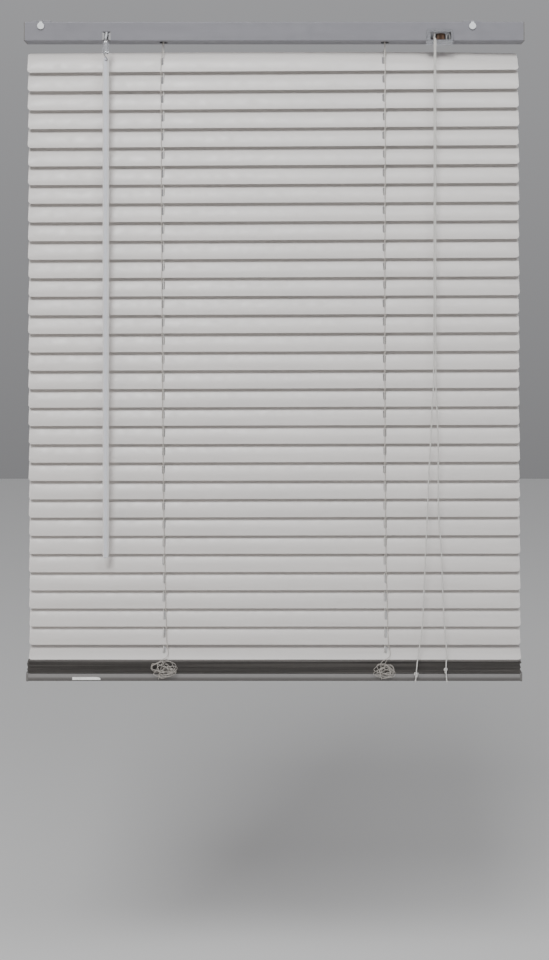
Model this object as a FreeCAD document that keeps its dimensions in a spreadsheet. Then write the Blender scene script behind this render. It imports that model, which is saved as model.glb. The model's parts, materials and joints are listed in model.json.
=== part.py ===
"""Aluminium venetian blind, 25 mm slats, hung partly raised with its slats closed.

Frame: +Z up, -Y towards the room, +X to the right as seen from the room. The origin is midway
between the screw holes of the two top-fix brackets, on the plane that they are screwed to.
All sizes are in millimetres.
"""
import FreeCAD, Part
import math
import os

from FreeCAD import Placement, Rotation, Vector

DIMENSIONS = {
    # headrail
    "blind_x": 20.3, "headrail_length": 577.6, "headrail_depth": 25, "headrail_height": 22,
    "headrail_top": -1.5, "sheet_wall": 0.6, "lip_width": 3, "headrail_corner": 0.9, "cap_plate": 1.2,
    "ladder_hole_length": 14, "ladder_hole_width": 9.3, "tilter_hole_width": 10.2, "tilter_hole_height": 10.5,
    "spigot_length": 7, "spigot_inset": 1.7, "spigot_wall": 1.3, "joint_gap": 0.01, "seat_gap": 0.05,
    "running_gap": 0.1,
    # brackets
    "bracket_span": 500, "bracket_width": 22, "bracket_plate": 1.2, "screw_hole_radius": 2.2,
    "lug_radius": 3.85, "lug_drop": 5, "lug_thickness": 1.8, "lug_neck_width": 3.5, "neck_thickness": 1.15,
    "bracket_reach": 11, "rear_lip_drop": 9, "bracket_gap": 0.2, "boss_radius": 6, "boss_height": 3.2,
    "foot_length": 14, "foot_top": -2.4, "foot_thickness": 1.2,
    # slats
    "slat_length": 572, "slat_width": 25, "slat_wall": 0.25, "slat_crown": 1.8, "slat_corner": 3.5,
    "first_slat_z": -44.9, "first_pitch": 21.97, "pitch_loss": 0.028, "closed_angle": 70,
    "slot_length": 10, "slot_width": 3.5,
    "resting_slat_z": -732.2, "resting_slat_angle": 40, "stack_top_z": -742.5, "stack_step": 1.19,
    # ladders and lift cords
    "ladder_offset": 129, "string_radius": 0.35, "string_reach": 14.6, "string_drop": 1.05,
    "string_overrun": 3, "lift_cord_radius": 0.7, "left_cord_run_z": -19.1, "right_cord_run_z": -20.6,
    "cord_turn": 2.8, "cord_foot": 6, "cord_end_y": -9.7,
    # tilt mechanism
    "rod_z": -12.8, "rod_radius": 3, "rod_bore": 3.06, "rod_left": -235, "rod_right": 160,
    "drum_radius": 5.1, "drum_width": 12, "drum_groove": 0.9, "drum_flange": 1.2, "tilter_x": -194.3,
    "cradle_length": 22, "cradle_reach": 11, "cradle_base": 0.9, "cradle_hole_length": 13,
    "cradle_hole_width": 8.6, "cheek_thickness": 2, "cheek_shift": 9,
    "cheek_reach": 7, "cheek_rise": 5, "cord_way_half": 1.6, "cord_way_gap": 1.1,
    "housing_length": 17, "housing_wall": 1.2, "housing_bore": 3.15, "housing_front": -11.7,
    "housing_top": -3.4,
    "shaft_way_width": 8.4, "shaft_way_top": -10,
    "worm_lean": 42, "gear_module": 0.8, "gear_teeth": 12, "gear_width": 4,
    "worm_pitch_radius": 2.4, "worm_half_length": 4.4, "worm_turns": 2.5, "shaft_radius": 1.3,
    "shaft_end": 19.6, "tongue_width": 2.6, "tongue_thickness": 1.2, "tongue_start": 16.6,
    "tongue_length": 3.6, "tongue_hole_radius": 0.6, "tongue_hole_margin": 0.4, "collar_radius": 2,
    "collar_length": 1.4,
    # wand
    "wand_y": -19.2, "wand_radius": 3.75, "wand_top": -43.4, "wand_bottom": -621.5,
    "sleeve_radius": 3.65, "sleeve_top": -25.2, "sleeve_bottom": -38.8, "sleeve_neck_radius": 1.5,
    "sleeve_neck_length": 1.2, "hook_eye_radius": 1.5, "hook_wire_radius": 0.5,
    # cord lock
    "lock_x": 192.9, "lock_width": 27, "lock_top": -4, "bezel_x": 191.5, "bezel_width": 31.4,
    "bezel_top": -10, "bezel_bottom": -29, "bezel_plate": 1.6, "bezel_gap": 0.1, "bezel_hook": 1.3,
    "window_width": 24.2, "window_top": -13.2, "window_bottom": -22.4, "cord_inlet_length": 4,
    "roller_x": 193.6, "roller_y": -4.6, "roller_radius": 5.4, "roller_height": 7.6, "pin_radius": 1.4,
    "pin_overhang": 0.6, "pull_cord_x": 185.9, "pull_cord_gap": 1.6,
    # bottom rail
    "rail_length": 570, "rail_height": 8.5, "rail_top_edge": -757, "rail_corner": 1.6,
    "rail_cap_plate": 2.4, "rail_cap_margin": 0.4, "rail_cord_hole_radius": 1.5,
    "plug_head_radius": 5.5, "plug_head_height": 1.4, "plug_stem_radius": 3.3, "plug_stem_height": 2,
    "plug_stem_overlap": 0.2,
    # slack of the ladders, gathered in front of the bottom rail
    "bunch_y": -17.6, "bunch_z": -751.6, "bunch_half_height": 12.7, "bunch_half_depth": 4.2,
}
HANGING_SLATS = 32
STACKED_SLATS = 12
OVERSIZE = 2    # how far a cutting tool stands proud of what it cuts
X_AXIS = Vector(1, 0, 0)
Y_AXIS = Vector(0, 1, 0)
Z_AXIS = Vector(0, 0, 1)

doc = FreeCAD.newDocument("venetian_blind")
sheet = doc.addObject("Spreadsheet::Sheet", "dims")
for row, (alias, value) in enumerate(DIMENSIONS.items(), start=1):
    sheet.set(f"A{row}", alias)
    sheet.set(f"B{row}", str(value))
    sheet.setAlias(f"B{row}", alias)
doc.recompute()

nodes = []


def node(obj, name):
    """Names a finished sub-part and puts it on the list of what is written out."""
    obj.Label = name
    nodes.append(obj)
    return obj


# ---------------------------------------------------------------- shapes bound to the sheet
def place(obj, x, y, z):
    """Binds an object's position to three formulas."""
    obj.setExpression("Placement.Base.x", x)
    obj.setExpression("Placement.Base.y", y)
    obj.setExpression("Placement.Base.z", z)
    return obj


def box(name, size, centre):
    """Box of the three given side formulas, centred on the three given position formulas."""
    block = doc.addObject("Part::Box", name)
    for side, formula in zip(("Length", "Width", "Height"), size):
        block.setExpression(side, formula)
    return place(block, *(f"({middle}) - ({side}) / 2" for middle, side in zip(centre, size)))


def span_box(name, length, y_low, y_high, z_low, z_high, x="dims.blind_x"):
    """Box centred on x, given by its length along X and its limits in Y and Z."""
    size = (length, f"({y_high}) - ({y_low})", f"({z_high}) - ({z_low})")
    centre = (x, f"(({y_low}) + ({y_high})) / 2", f"(({z_low}) + ({z_high})) / 2")
    return box(name, size, centre)


AXIS_TURNS = {"X": Rotation(Y_AXIS, 90), "Y": Rotation(X_AXIS, -90), "Z": Rotation()}


def cylinder(name, radius, height, centre, axis="Z"):
    """Cylinder along a frame axis, centred on the three given position formulas."""
    rod = doc.addObject("Part::Cylinder", name)
    rod.setExpression("Radius", radius)
    rod.setExpression("Height", height)
    rod.Placement = Placement(Vector(), AXIS_TURNS[axis])
    shifted = [f"({value}) - ({height}) / 2" if letter == axis else value
               for letter, value in zip("XYZ", centre)]
    return place(rod, *shifted)


def hex_rod(name, radius, height, start, axis="Z"):
    """Hexagonal bar whose corners lie on the given radius, from its start point upwards."""
    bar = doc.addObject("Part::Prism", name)
    bar.Polygon = 6
    bar.setExpression("Circumradius", radius)
    bar.setExpression("Height", height)
    bar.Placement = Placement(Vector(), AXIS_TURNS[axis])
    return place(bar, *start)


def fuse(name, *shapes):
    union = doc.addObject("Part::MultiFuse", name)
    union.Shapes = list(shapes)
    return union


def common(name, *shapes):
    overlap = doc.addObject("Part::MultiCommon", name)
    overlap.Shapes = list(shapes)
    return overlap


def group(name, *shapes):
    """Separate solids that are kept together as one object."""
    compound = doc.addObject("Part::Compound", name)
    compound.Links = list(shapes)
    return compound


def cut(name, base, *tools):
    result = doc.addObject("Part::Cut", name)
    result.Base = base
    result.Tool = tools[0] if len(tools) == 1 else group(f"{name}_tools", *tools)
    return result


def round_edges(name, base, radius_alias, wanted):
    """Fillets the edges of base for which wanted(edge) is true."""
    doc.recompute()
    fillet = doc.addObject("Part::Fillet", name)
    fillet.Base = base
    radius = DIMENSIONS[radius_alias]
    fillet.Edges = [(index, radius, radius)
                    for index, edge in enumerate(base.Shape.Edges, start=1) if wanted(edge)]
    return fillet


def runs_along(edge, axis):
    """True for a straight edge parallel to the given unit vector."""
    return isinstance(edge.Curve, Part.Line) and abs(edge.tangentAt(edge.FirstParameter).dot(axis)) > 0.999


def oval_hole(name, length, width, centre):
    """Upright cutter with round ends, its length along Y, tall enough to go through a slat."""
    x, y, z = centre
    tall = "4 * dims.slat_crown"
    middle = box(f"{name}_middle", (width, f"({length}) - ({width})", tall), centre)
    shift = f"(({length}) - ({width})) / 2"
    ends = [cylinder(f"{name}_end{side}", f"({width}) / 2", tall, (x, f"({y}) {sign} {shift}", z))
            for side, sign in enumerate("+-")]
    return fuse(name, middle, *ends)


def shape_feature(name, shape, placement=Placement()):
    """Object for a shape that is computed from the sheet's values by Part's own functions."""
    feature = doc.addObject("Part::Feature", name)
    feature.Shape = shape
    feature.Placement = placement
    return feature


def crowned_bar(name, length, width, height, z_top, arch_radius):
    """Bar along X at the blind's centre whose top face is arched across its depth."""
    block = span_box(f"{name}_block", length, f"-({width}) / 2", f"({width}) / 2",
                     f"({z_top}) - ({height})", z_top)
    arch = cylinder(f"{name}_arch", arch_radius, f"({length}) + 2",
                    ("dims.blind_x", "0", f"({z_top}) - ({arch_radius})"), "X")
    return common(name, block, arch)


# radius of the arc through a slat's two edges and its crest
ARCH = "(dims.slat_width ^ 2 / (8 * dims.slat_crown) + dims.slat_crown / 2)"
SIDES = {"left": "-1", "right": "1"}
LEFT_AND_RIGHT = {side: f"dims.blind_x + {sign} * dims.ladder_offset" for side, sign in SIDES.items()}


# ---------------------------------------------------------------- slats
def slat_pattern():
    """One flat-lying crowned slat with its two cord slots. Its hinge axis is the origin's X axis,
    at the centroid of the section, a third of the crown below the crest."""
    crest = "dims.slat_crown / 3"
    arch_centre = ("dims.blind_x", "0", f"{crest} - {ARCH}")
    outer = cylinder("arch_outer", ARCH, "dims.slat_length", arch_centre, "X")
    inner = cylinder("arch_inner", f"{ARCH} - dims.slat_wall", f"dims.slat_length + {OVERSIZE}",
                     arch_centre, "X")
    blank = box("slat_blank", ("dims.slat_length", "dims.slat_width", "4 * dims.slat_crown"),
                ("dims.blind_x", "0", "0"))
    rounded = round_edges("slat_outline", blank, "slat_corner", lambda edge: runs_along(edge, Z_AXIS))
    plain = common("slat_plain", cut("slat_arch", outer, inner), rounded)
    slots = [oval_hole(f"slot_{side}", "dims.slot_length", "dims.slot_width", (x, "0", "0"))
             for side, x in LEFT_AND_RIGHT.items()]
    return cut("slat_pattern", plain, *slots)


def placed_slat(name, pattern, z, angle):
    """A copy of the slat pattern at height z, turned so that its room-side edge hangs down."""
    slat = group(name, pattern)
    slat.Placement = Placement(Vector(), Rotation(Vector(1, 0, 0), angle))
    slat.setExpression("Placement.Base.z", z)
    if angle:
        slat.setExpression("Placement.Rotation.Angle", f"{angle} * 1 deg")
    return slat


# the ladders stretch under the slats' weight, so each pitch is a little less than the one above it
def slat_height(number):
    """Formula for the height of a hanging slat's hinge axis."""
    above = number - 1
    return f"(dims.first_slat_z - {above} * dims.first_pitch + {above * (above - 1) // 2} * dims.pitch_loss)"


pattern = slat_pattern()
for number in range(1, HANGING_SLATS + 1):
    name = f"slat_{number:02d}"
    node(placed_slat(name, pattern, slat_height(number), DIMENSIONS["closed_angle"]), name)
node(placed_slat("slat_33", pattern, "dims.resting_slat_z", DIMENSIONS["resting_slat_angle"]), "slat_33")

# the edges of a flat slat lie two thirds of the crown below its hinge axis
stack = [placed_slat(f"stack_slat_{number:02d}", pattern,
                     f"dims.stack_top_z - {number} * dims.stack_step + dims.slat_crown * 2 / 3", 0)
         for number in range(STACKED_SLATS)]
node(group("stacked_slats", *stack), "stacked_slats")


# ---------------------------------------------------------------- headrail
HEADRAIL_FLOOR = "(dims.headrail_top - dims.headrail_height)"
HALF_DEPTH = "(dims.headrail_depth / 2)"
FRONT = f"-{HALF_DEPTH}"
THROUGH = f"(dims.headrail_length + {OVERSIZE})"


def headrail():
    """Open-topped channel with inturned lips, holes for the ladders, the tilter and the cord lock."""
    wall = "dims.sheet_wall"
    outer = span_box("headrail_outer", "dims.headrail_length", FRONT, HALF_DEPTH,
                     HEADRAIL_FLOOR, "dims.headrail_top")
    rounded = round_edges("headrail_rounded", outer, "headrail_corner",
                          lambda edge: runs_along(edge, X_AXIS))
    hollow = span_box("headrail_hollow", THROUGH, f"{FRONT} + {wall}", f"{HALF_DEPTH} - {wall}",
                      f"{HEADRAIL_FLOOR} + {wall}", f"dims.headrail_top - {wall}")
    mouth = span_box("headrail_mouth", THROUGH, f"{FRONT} + dims.lip_width", f"{HALF_DEPTH} - dims.lip_width",
                     f"dims.headrail_top - {OVERSIZE}", f"dims.headrail_top + {OVERSIZE}")
    ladder_holes = [oval_hole(f"ladder_hole_{side}", "dims.ladder_hole_length", "dims.ladder_hole_width",
                              (x, "0", HEADRAIL_FLOOR)) for side, x in LEFT_AND_RIGHT.items()]
    tilter_hole = span_box("tilter_hole", "dims.tilter_hole_width", f"{FRONT} - {OVERSIZE}",
                           f"{FRONT} + 2 * {OVERSIZE}", f"{HEADRAIL_FLOOR} - {OVERSIZE}",
                           f"{HEADRAIL_FLOOR} + dims.tilter_hole_height", "dims.blind_x + dims.tilter_x")
    lock_hole = span_box("lock_hole", "dims.window_width", f"{FRONT} - {OVERSIZE}", f"{FRONT} + {OVERSIZE}",
                         "dims.window_bottom", "dims.window_top", "dims.blind_x + dims.lock_x")
    return cut("headrail_body", rounded, hollow, mouth, *ladder_holes, tilter_hole, lock_hole)


def headrail_cap(side, sign):
    """Plastic plug in one end of the headrail: an outer plate and an inner spigot."""
    end = f"dims.blind_x + {sign} * dims.headrail_length / 2"
    plate = span_box(f"cap_plate_{side}", "dims.cap_plate", FRONT, HALF_DEPTH, HEADRAIL_FLOOR,
                     "dims.headrail_top", f"{end} + {sign} * (dims.cap_plate / 2 + dims.joint_gap)")
    rounded = round_edges(f"cap_rounded_{side}", plate, "headrail_corner",
                          lambda edge: runs_along(edge, X_AXIS))
    inset = "dims.spigot_inset"
    spigot = span_box(f"cap_spigot_{side}", "dims.spigot_length", f"{FRONT} + {inset}",
                      f"{HALF_DEPTH} - {inset}", f"{HEADRAIL_FLOOR} + {inset}",
                      f"dims.headrail_top - {inset}",
                      f"{end} - {sign} * (dims.spigot_length / 2 - dims.cap_plate / 2)")
    inner = f"({inset} + dims.spigot_wall)"
    hollow = span_box(f"cap_hollow_{side}", "dims.spigot_length", f"{FRONT} + {inner}",
                      f"{HALF_DEPTH} - {inner}", f"{HEADRAIL_FLOOR} + {inner}",
                      f"dims.headrail_top - {inner}",
                      f"{end} - {sign} * (dims.spigot_length / 2 + dims.cap_plate / 2)")
    return cut(f"headrail_cap_{side}", fuse(f"cap_blank_{side}", rounded, spigot), hollow)


def bracket(side, sign):
    """Top-fix bracket: a screwed plate, a foot under the headrail's lips, a rear lip and a front lug."""
    x = f"{sign} * dims.bracket_span / 2"
    lug_z = "(dims.headrail_top - dims.lug_drop)"
    lip = f"({HALF_DEPTH} + dims.bracket_gap + dims.bracket_plate)"
    neck_front = f"({FRONT} - dims.joint_gap - dims.bracket_gap / 2 - dims.neck_thickness)"
    plate = span_box(f"bracket_plate_{side}", "dims.bracket_width", "-dims.bracket_reach", lip,
                     "-dims.bracket_plate", "0", x)
    rear = span_box(f"bracket_rear_{side}", "dims.bracket_width", f"{HALF_DEPTH} + dims.bracket_gap", lip,
                    "-dims.rear_lip_drop", "0", x)
    neck = span_box(f"bracket_neck_{side}", "dims.lug_neck_width", neck_front,
                    f"{neck_front} + dims.neck_thickness", lug_z, "0", x)
    arm = span_box(f"bracket_arm_{side}", "dims.lug_neck_width", neck_front, "-dims.bracket_reach + 1",
                   "-dims.bracket_plate", "0", x)
    lug_y = f"{FRONT} - dims.joint_gap - dims.bracket_gap / 2 - dims.lug_thickness / 2"
    lug = cylinder(f"bracket_lug_{side}", "dims.lug_radius", "dims.lug_thickness", (x, lug_y, lug_z), "Y")
    boss = cylinder(f"bracket_boss_{side}", "dims.boss_radius", "dims.boss_height",
                    (x, "0", "-dims.bracket_plate / 2 - dims.boss_height / 2 - dims.joint_gap"))
    foot = span_box(f"bracket_foot_{side}", "dims.foot_length", "-dims.bracket_reach", "dims.bracket_reach",
                    "dims.foot_top - dims.foot_thickness", "dims.foot_top", x)
    hole = cylinder(f"bracket_hole_{side}", "dims.screw_hole_radius", "4 * dims.boss_height", (x, "0", "0"))
    blank = fuse(f"bracket_blank_{side}", plate, rear, neck, arm, lug, boss, foot)
    return cut(f"bracket_{side}", blank, hole)


node(headrail(), "headrail")
node(group("headrail_end_caps", *(headrail_cap(*side) for side in SIDES.items())), "headrail_end_caps")
node(group("mounting_brackets", *(bracket(*side) for side in SIDES.items())), "mounting_brackets")


# ---------------------------------------------------------------- tilt mechanism
TILTER_X = "(dims.blind_x + dims.tilter_x)"
# limits in Y and Z of the way that both lift cords run through along the headrail
CORD_WAY = ("-dims.cord_way_half", "dims.cord_way_half", "dims.right_cord_run_z - dims.cord_way_gap",
            "dims.left_cord_run_z + dims.cord_way_gap")


def cradle(side, x):
    """Plastic cradle on the headrail's floor that carries the tilt rod on both sides of a drum."""
    floor = f"({HEADRAIL_FLOOR} + dims.sheet_wall + dims.seat_gap)"
    base = span_box(f"cradle_base_{side}", "dims.cradle_length", "-dims.cradle_reach", "dims.cradle_reach",
                    floor, f"{floor} + dims.cradle_base", x)
    cheeks = [span_box(f"cradle_cheek_{side}{end}", "dims.cheek_thickness", "-dims.cheek_reach",
                       "dims.cheek_reach", floor, "dims.rod_z + dims.cheek_rise",
                       f"{x} {sign} dims.cheek_shift")
              for end, sign in (("a", "-"), ("b", "+"))]
    through = f"(dims.cradle_length + {OVERSIZE})"
    bearing = cylinder(f"cradle_bearing_{side}", "dims.rod_radius + dims.running_gap", through,
                       (x, "0", "dims.rod_z"), "X")
    cord_way = span_box(f"cradle_cord_way_{side}", through, *CORD_WAY, x)
    hole = oval_hole(f"cradle_hole_{side}", "dims.cradle_hole_length", "dims.cradle_hole_width",
                     (x, "0", floor))
    return cut(f"drum_cradle_{side}", fuse(f"cradle_blank_{side}", base, *cheeks), bearing, cord_way, hole)


def drum(side, x):
    """Flanged drum on the tilt rod that the ladder strings hang from."""
    middle = (x, "0", "dims.rod_z")
    core = cylinder(f"drum_core_{side}", "dims.drum_radius - dims.drum_groove", "dims.drum_width",
                    middle, "X")
    flanges = [cylinder(f"drum_flange_{side}{end}", "dims.drum_radius", "dims.drum_flange",
                        (f"{x} {sign} (dims.drum_width - dims.drum_flange) / 2", "0", "dims.rod_z"), "X")
               for end, sign in (("a", "-"), ("b", "+"))]
    bore = cylinder(f"drum_bore_{side}", "dims.rod_bore", f"dims.drum_width + {OVERSIZE}", middle, "X")
    return cut(f"ladder_drum_{side}", fuse(f"drum_blank_{side}", core, *flanges), bore)


# floor of the two plastic cases that stand in the headrail
CASE_FLOOR = f"({HEADRAIL_FLOOR} + dims.sheet_wall + dims.running_gap)"


def tilter_housing():
    """Open-topped plastic case around the worm and its gear, clipped in the headrail."""
    wall = "dims.housing_wall"
    case = span_box("tilter_case", "dims.housing_length", "dims.housing_front", "-dims.housing_front",
                    CASE_FLOOR, "dims.housing_top", TILTER_X)
    inside = span_box("tilter_inside", f"dims.housing_length - 2 * {wall}", f"dims.housing_front + {wall}",
                      f"-dims.housing_front - {wall}", f"{CASE_FLOOR} + {wall}", "0", TILTER_X)
    rod_way = cylinder("tilter_rod_way", "dims.housing_bore", f"dims.housing_length + {OVERSIZE}",
                       (TILTER_X, "0", "dims.rod_z"), "X")
    shaft_way = span_box("tilter_shaft_way", "dims.shaft_way_width", f"dims.housing_front - {OVERSIZE}",
                         f"dims.housing_front + 1.5 * {wall}", f"{CASE_FLOOR} - {OVERSIZE}",
                         "dims.shaft_way_top", TILTER_X)
    return cut("tilter_housing_body", case, inside, rod_way, shaft_way)


def worm_frame():
    """Centre of the worm and its unit vector, which leans out of the headrail's front."""
    lean = math.radians(DIMENSIONS["worm_lean"])
    along = Vector(0, -math.sin(lean), -math.cos(lean))
    gear_radius = DIMENSIONS["gear_module"] * DIMENSIONS["gear_teeth"] / 2
    reach = gear_radius + DIMENSIONS["worm_pitch_radius"]
    outward = Vector(0, -math.cos(lean), math.sin(lean))
    x = DIMENSIONS["blind_x"] + DIMENSIONS["tilter_x"]
    return Vector(x, 0, DIMENSIONS["rod_z"]) + outward * reach, along, outward


def worm_gear():
    """Twelve-tooth gear on the tilt rod, with a tooth gap facing the worm."""
    root_half_width, tip_half_width = 0.55, 0.25
    root_depth, tip_rise = 1.35, 0.8    # in modules
    module = DIMENSIONS["gear_module"]
    teeth = DIMENSIONS["gear_teeth"]
    width = DIMENSIONS["gear_width"]
    root = module * (teeth / 2 - root_depth)
    tip = module * (teeth / 2 + tip_rise)
    x = DIMENSIONS["blind_x"] + DIMENSIONS["tilter_x"] - width / 2
    centre = Vector(x, 0, DIMENSIONS["rod_z"])
    solid = Part.makeCylinder(root, width, centre, Vector(1, 0, 0))
    for index in range(teeth):
        angle = DIMENSIONS["worm_lean"] + 90 + 360 / teeth * (index + 0.5)
        profile = [Vector(0, -root_half_width, 0), Vector(0, root_half_width, 0),
                   Vector(0, tip_half_width, tip), Vector(0, -tip_half_width, tip)]
        tooth = Part.Face(Part.makePolygon(profile + profile[:1])).extrude(Vector(width, 0, 0))
        tooth.Placement = Placement(centre, Rotation(Vector(1, 0, 0), -angle))
        solid = solid.fuse(tooth)
    bore = Part.makeCylinder(DIMENSIONS["rod_bore"], width + 2, centre - Vector(1, 0, 0), Vector(1, 0, 0))
    return shape_feature("worm_gear_body", solid.cut(bore).removeSplitter())


def worm_shaft():
    """Single-start worm on a shaft that ends in a drilled tongue outside the headrail."""
    root_half_width, tip_half_width, thread_rise, thread_overlap = 0.55, 0.22, 0.5, 0.3
    centre, along, outward = worm_frame()
    up, origin = Vector(0, 0, 1), Vector()
    lead = math.pi * DIMENSIONS["gear_module"]
    turns = DIMENSIONS["worm_turns"]
    core_radius = DIMENSIONS["worm_pitch_radius"] - DIMENSIONS["gear_module"]
    tip_radius = DIMENSIONS["worm_pitch_radius"] + thread_rise
    foot_radius = core_radius - thread_overlap
    half_length = DIMENSIONS["worm_half_length"]
    helix = Part.makeHelix(lead, lead * turns, core_radius)
    profile = [Vector(foot_radius, 0, -root_half_width), Vector(tip_radius, 0, -tip_half_width),
               Vector(tip_radius, 0, tip_half_width), Vector(foot_radius, 0, root_half_width)]
    thread = Part.Wire(helix).makePipeShell([Part.makePolygon(profile + profile[:1])], True, True)
    thread.rotate(origin, up, -180 * turns)
    thread.translate(Vector(0, 0, -lead * turns / 2))
    core = Part.makeCylinder(core_radius, 2 * half_length, Vector(0, 0, -half_length))
    tongue_start = DIMENSIONS["tongue_start"]
    shaft = Part.makeCylinder(DIMENSIONS["shaft_radius"], tongue_start - half_length,
                              Vector(0, 0, half_length))
    width, thickness, length = (DIMENSIONS[f"tongue_{side}"] for side in ("width", "thickness", "length"))
    hole_place = DIMENSIONS["shaft_end"] - DIMENSIONS["tongue_hole_margin"]
    tongue = Part.makeBox(width, thickness, length, Vector(-width / 2, -thickness / 2, tongue_start))
    tongue = tongue.cut(Part.makeCylinder(DIMENSIONS["tongue_hole_radius"], 4 * thickness,
                                          Vector(0, -2 * thickness, hole_place),
                                          Vector(0, 1, 0)))
    collar = Part.makeCylinder(DIMENSIONS["collar_radius"], DIMENSIONS["collar_length"],
                               Vector(0, 0, half_length + 1))
    solid = core.fuse([shaft, tongue, collar, thread])
    # local Z lies along the shaft and local X faces the gear, where the thread crosses its centre
    inward = -outward
    turned = Rotation(inward, along.cross(inward), along, "ZXY")
    return shape_feature("worm_shaft_body", solid, Placement(centre, turned))


for name, maker in (("drum_cradles", cradle), ("ladder_drums", drum)):
    node(group(name, *(maker(*side) for side in LEFT_AND_RIGHT.items())), name)
rod_start = ("dims.blind_x + dims.rod_left", "0", "dims.rod_z")
node(hex_rod("tilt_rod_bar", "dims.rod_radius", "dims.rod_right - dims.rod_left", rod_start, "X"), "tilt_rod")
node(tilter_housing(), "tilter_housing")
node(worm_gear(), "worm_gear")
node(worm_shaft(), "worm_shaft")


# ---------------------------------------------------------------- wand
def wand_sleeve():
    """Clear link between the worm shaft and the wand's hook, with a short neck on top."""
    length = "dims.sleeve_top - dims.sleeve_bottom"
    tube = cylinder("sleeve_tube", "dims.sleeve_radius", length,
                    (TILTER_X, "dims.wand_y", "(dims.sleeve_top + dims.sleeve_bottom) / 2"))
    neck = cylinder("sleeve_neck", "dims.sleeve_neck_radius", "dims.sleeve_neck_length",
                    (TILTER_X, "dims.wand_y", "dims.sleeve_top + dims.sleeve_neck_length / 2"))
    return fuse("wand_sleeve_body", tube, neck)


def wand_hook():
    """Wire eye that joins the sleeve and the wand."""
    eye = doc.addObject("Part::Torus", "wand_hook_eye")
    eye.setExpression("Radius1", "dims.hook_eye_radius")
    eye.setExpression("Radius2", "dims.hook_wire_radius")
    eye.Placement = Placement(Vector(), AXIS_TURNS["Y"])
    return place(eye, TILTER_X, "dims.wand_y", "(dims.sleeve_bottom + dims.wand_top) / 2")


node(wand_sleeve(), "wand_sleeve")
node(wand_hook(), "wand_hook")
node(hex_rod("wand_bar", "dims.wand_radius", "dims.wand_top - dims.wand_bottom",
             (TILTER_X, "dims.wand_y", "dims.wand_bottom")), "wand")


# ---------------------------------------------------------------- cord lock
LOCK_X = "(dims.blind_x + dims.lock_x)"


def cord_lock_body():
    """Open-topped plastic case in the headrail with a window for the pull cords."""
    wall = "dims.housing_wall"
    case = span_box("lock_case", "dims.lock_width", "dims.housing_front", "-dims.housing_front", CASE_FLOOR,
                    "dims.lock_top", LOCK_X)
    inside = span_box("lock_inside", f"dims.lock_width - 2 * {wall}", f"dims.housing_front + {wall}",
                      f"-dims.housing_front - {wall}", f"{CASE_FLOOR} + {wall} / 2", "0", LOCK_X)
    window = span_box("lock_case_window", "dims.window_width", f"dims.housing_front - {OVERSIZE}",
                      f"dims.housing_front + {OVERSIZE}", "dims.window_bottom", "dims.window_top", LOCK_X)
    cord_way = span_box("lock_cord_way", "dims.cord_inlet_length", *CORD_WAY,
                        f"{LOCK_X} - dims.lock_width / 2")
    return cut("cord_lock_case", case, inside, window, cord_way)


def lock_bezel():
    """Clear frame around the window, with an apron that hooks under the headrail."""
    back = f"({FRONT} - dims.bezel_gap)"
    plate = span_box("bezel_plate_blank", "dims.bezel_width", f"{back} - dims.bezel_plate", back,
                     "dims.bezel_bottom", "dims.bezel_top", "dims.blind_x + dims.bezel_x")
    rounded = round_edges("bezel_rounded", plate, "slat_corner", lambda edge: runs_along(edge, Y_AXIS))
    hook = span_box("bezel_hook", "dims.window_width", f"{back} - dims.bezel_plate / 2",
                    f"{FRONT} + dims.slat_width / 4", f"{HEADRAIL_FLOOR} - dims.bezel_gap - dims.bezel_hook",
                    f"{HEADRAIL_FLOOR} - dims.bezel_gap", LOCK_X)
    window = span_box("bezel_window", "dims.window_width", f"{FRONT} - 2 * {OVERSIZE}",
                      f"{FRONT} + {OVERSIZE}", "dims.window_bottom", "dims.window_top", LOCK_X)
    return cut("lock_bezel_body", fuse("bezel_blank", rounded, hook), window)


def lock_roller():
    """Brass roller on an upright pin that jams the pull cords against the case."""
    middle = ("dims.blind_x + dims.roller_x", "dims.roller_y", "(dims.window_top + dims.window_bottom) / 2")
    barrel = cylinder("roller_barrel", "dims.roller_radius", "dims.roller_height", middle)
    pin = cylinder("roller_pin", "dims.pin_radius", "dims.roller_height + 2 * dims.pin_overhang", middle)
    return fuse("lock_roller_body", barrel, pin)


node(cord_lock_body(), "cord_lock_body")
node(lock_bezel(), "lock_bezel")
node(lock_roller(), "lock_roller")


# ---------------------------------------------------------------- ladders, lift cords, pull cords
def ladder(name, reach_sign):
    """Two strings on one side of the slats. An attachment point turns with its slat, so a string
    hangs from that point's rest place, and runs a little beyond its first and last slat."""
    angle = math.radians(DIMENSIONS["closed_angle"])
    reach = reach_sign * DIMENSIONS["string_reach"]
    drop = DIMENSIONS["string_drop"]
    y = reach * math.cos(angle) + drop * math.sin(angle)
    rise = reach * math.sin(angle) - drop * math.cos(angle)
    top = f"({slat_height(1)} + {rise} + dims.string_overrun)"
    bottom = f"({slat_height(HANGING_SLATS)} + {rise} - dims.string_overrun)"
    strings = [cylinder(f"{name}_string_{side}", "dims.string_radius", f"{top} - {bottom}",
                        (x, f"{y}", f"({top} + {bottom}) / 2")) for side, x in LEFT_AND_RIGHT.items()]
    return group(f"{name}_strings", *strings)


ARC_SHARE = 0.45    # share of the shorter neighbouring run that an arc takes up


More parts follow.
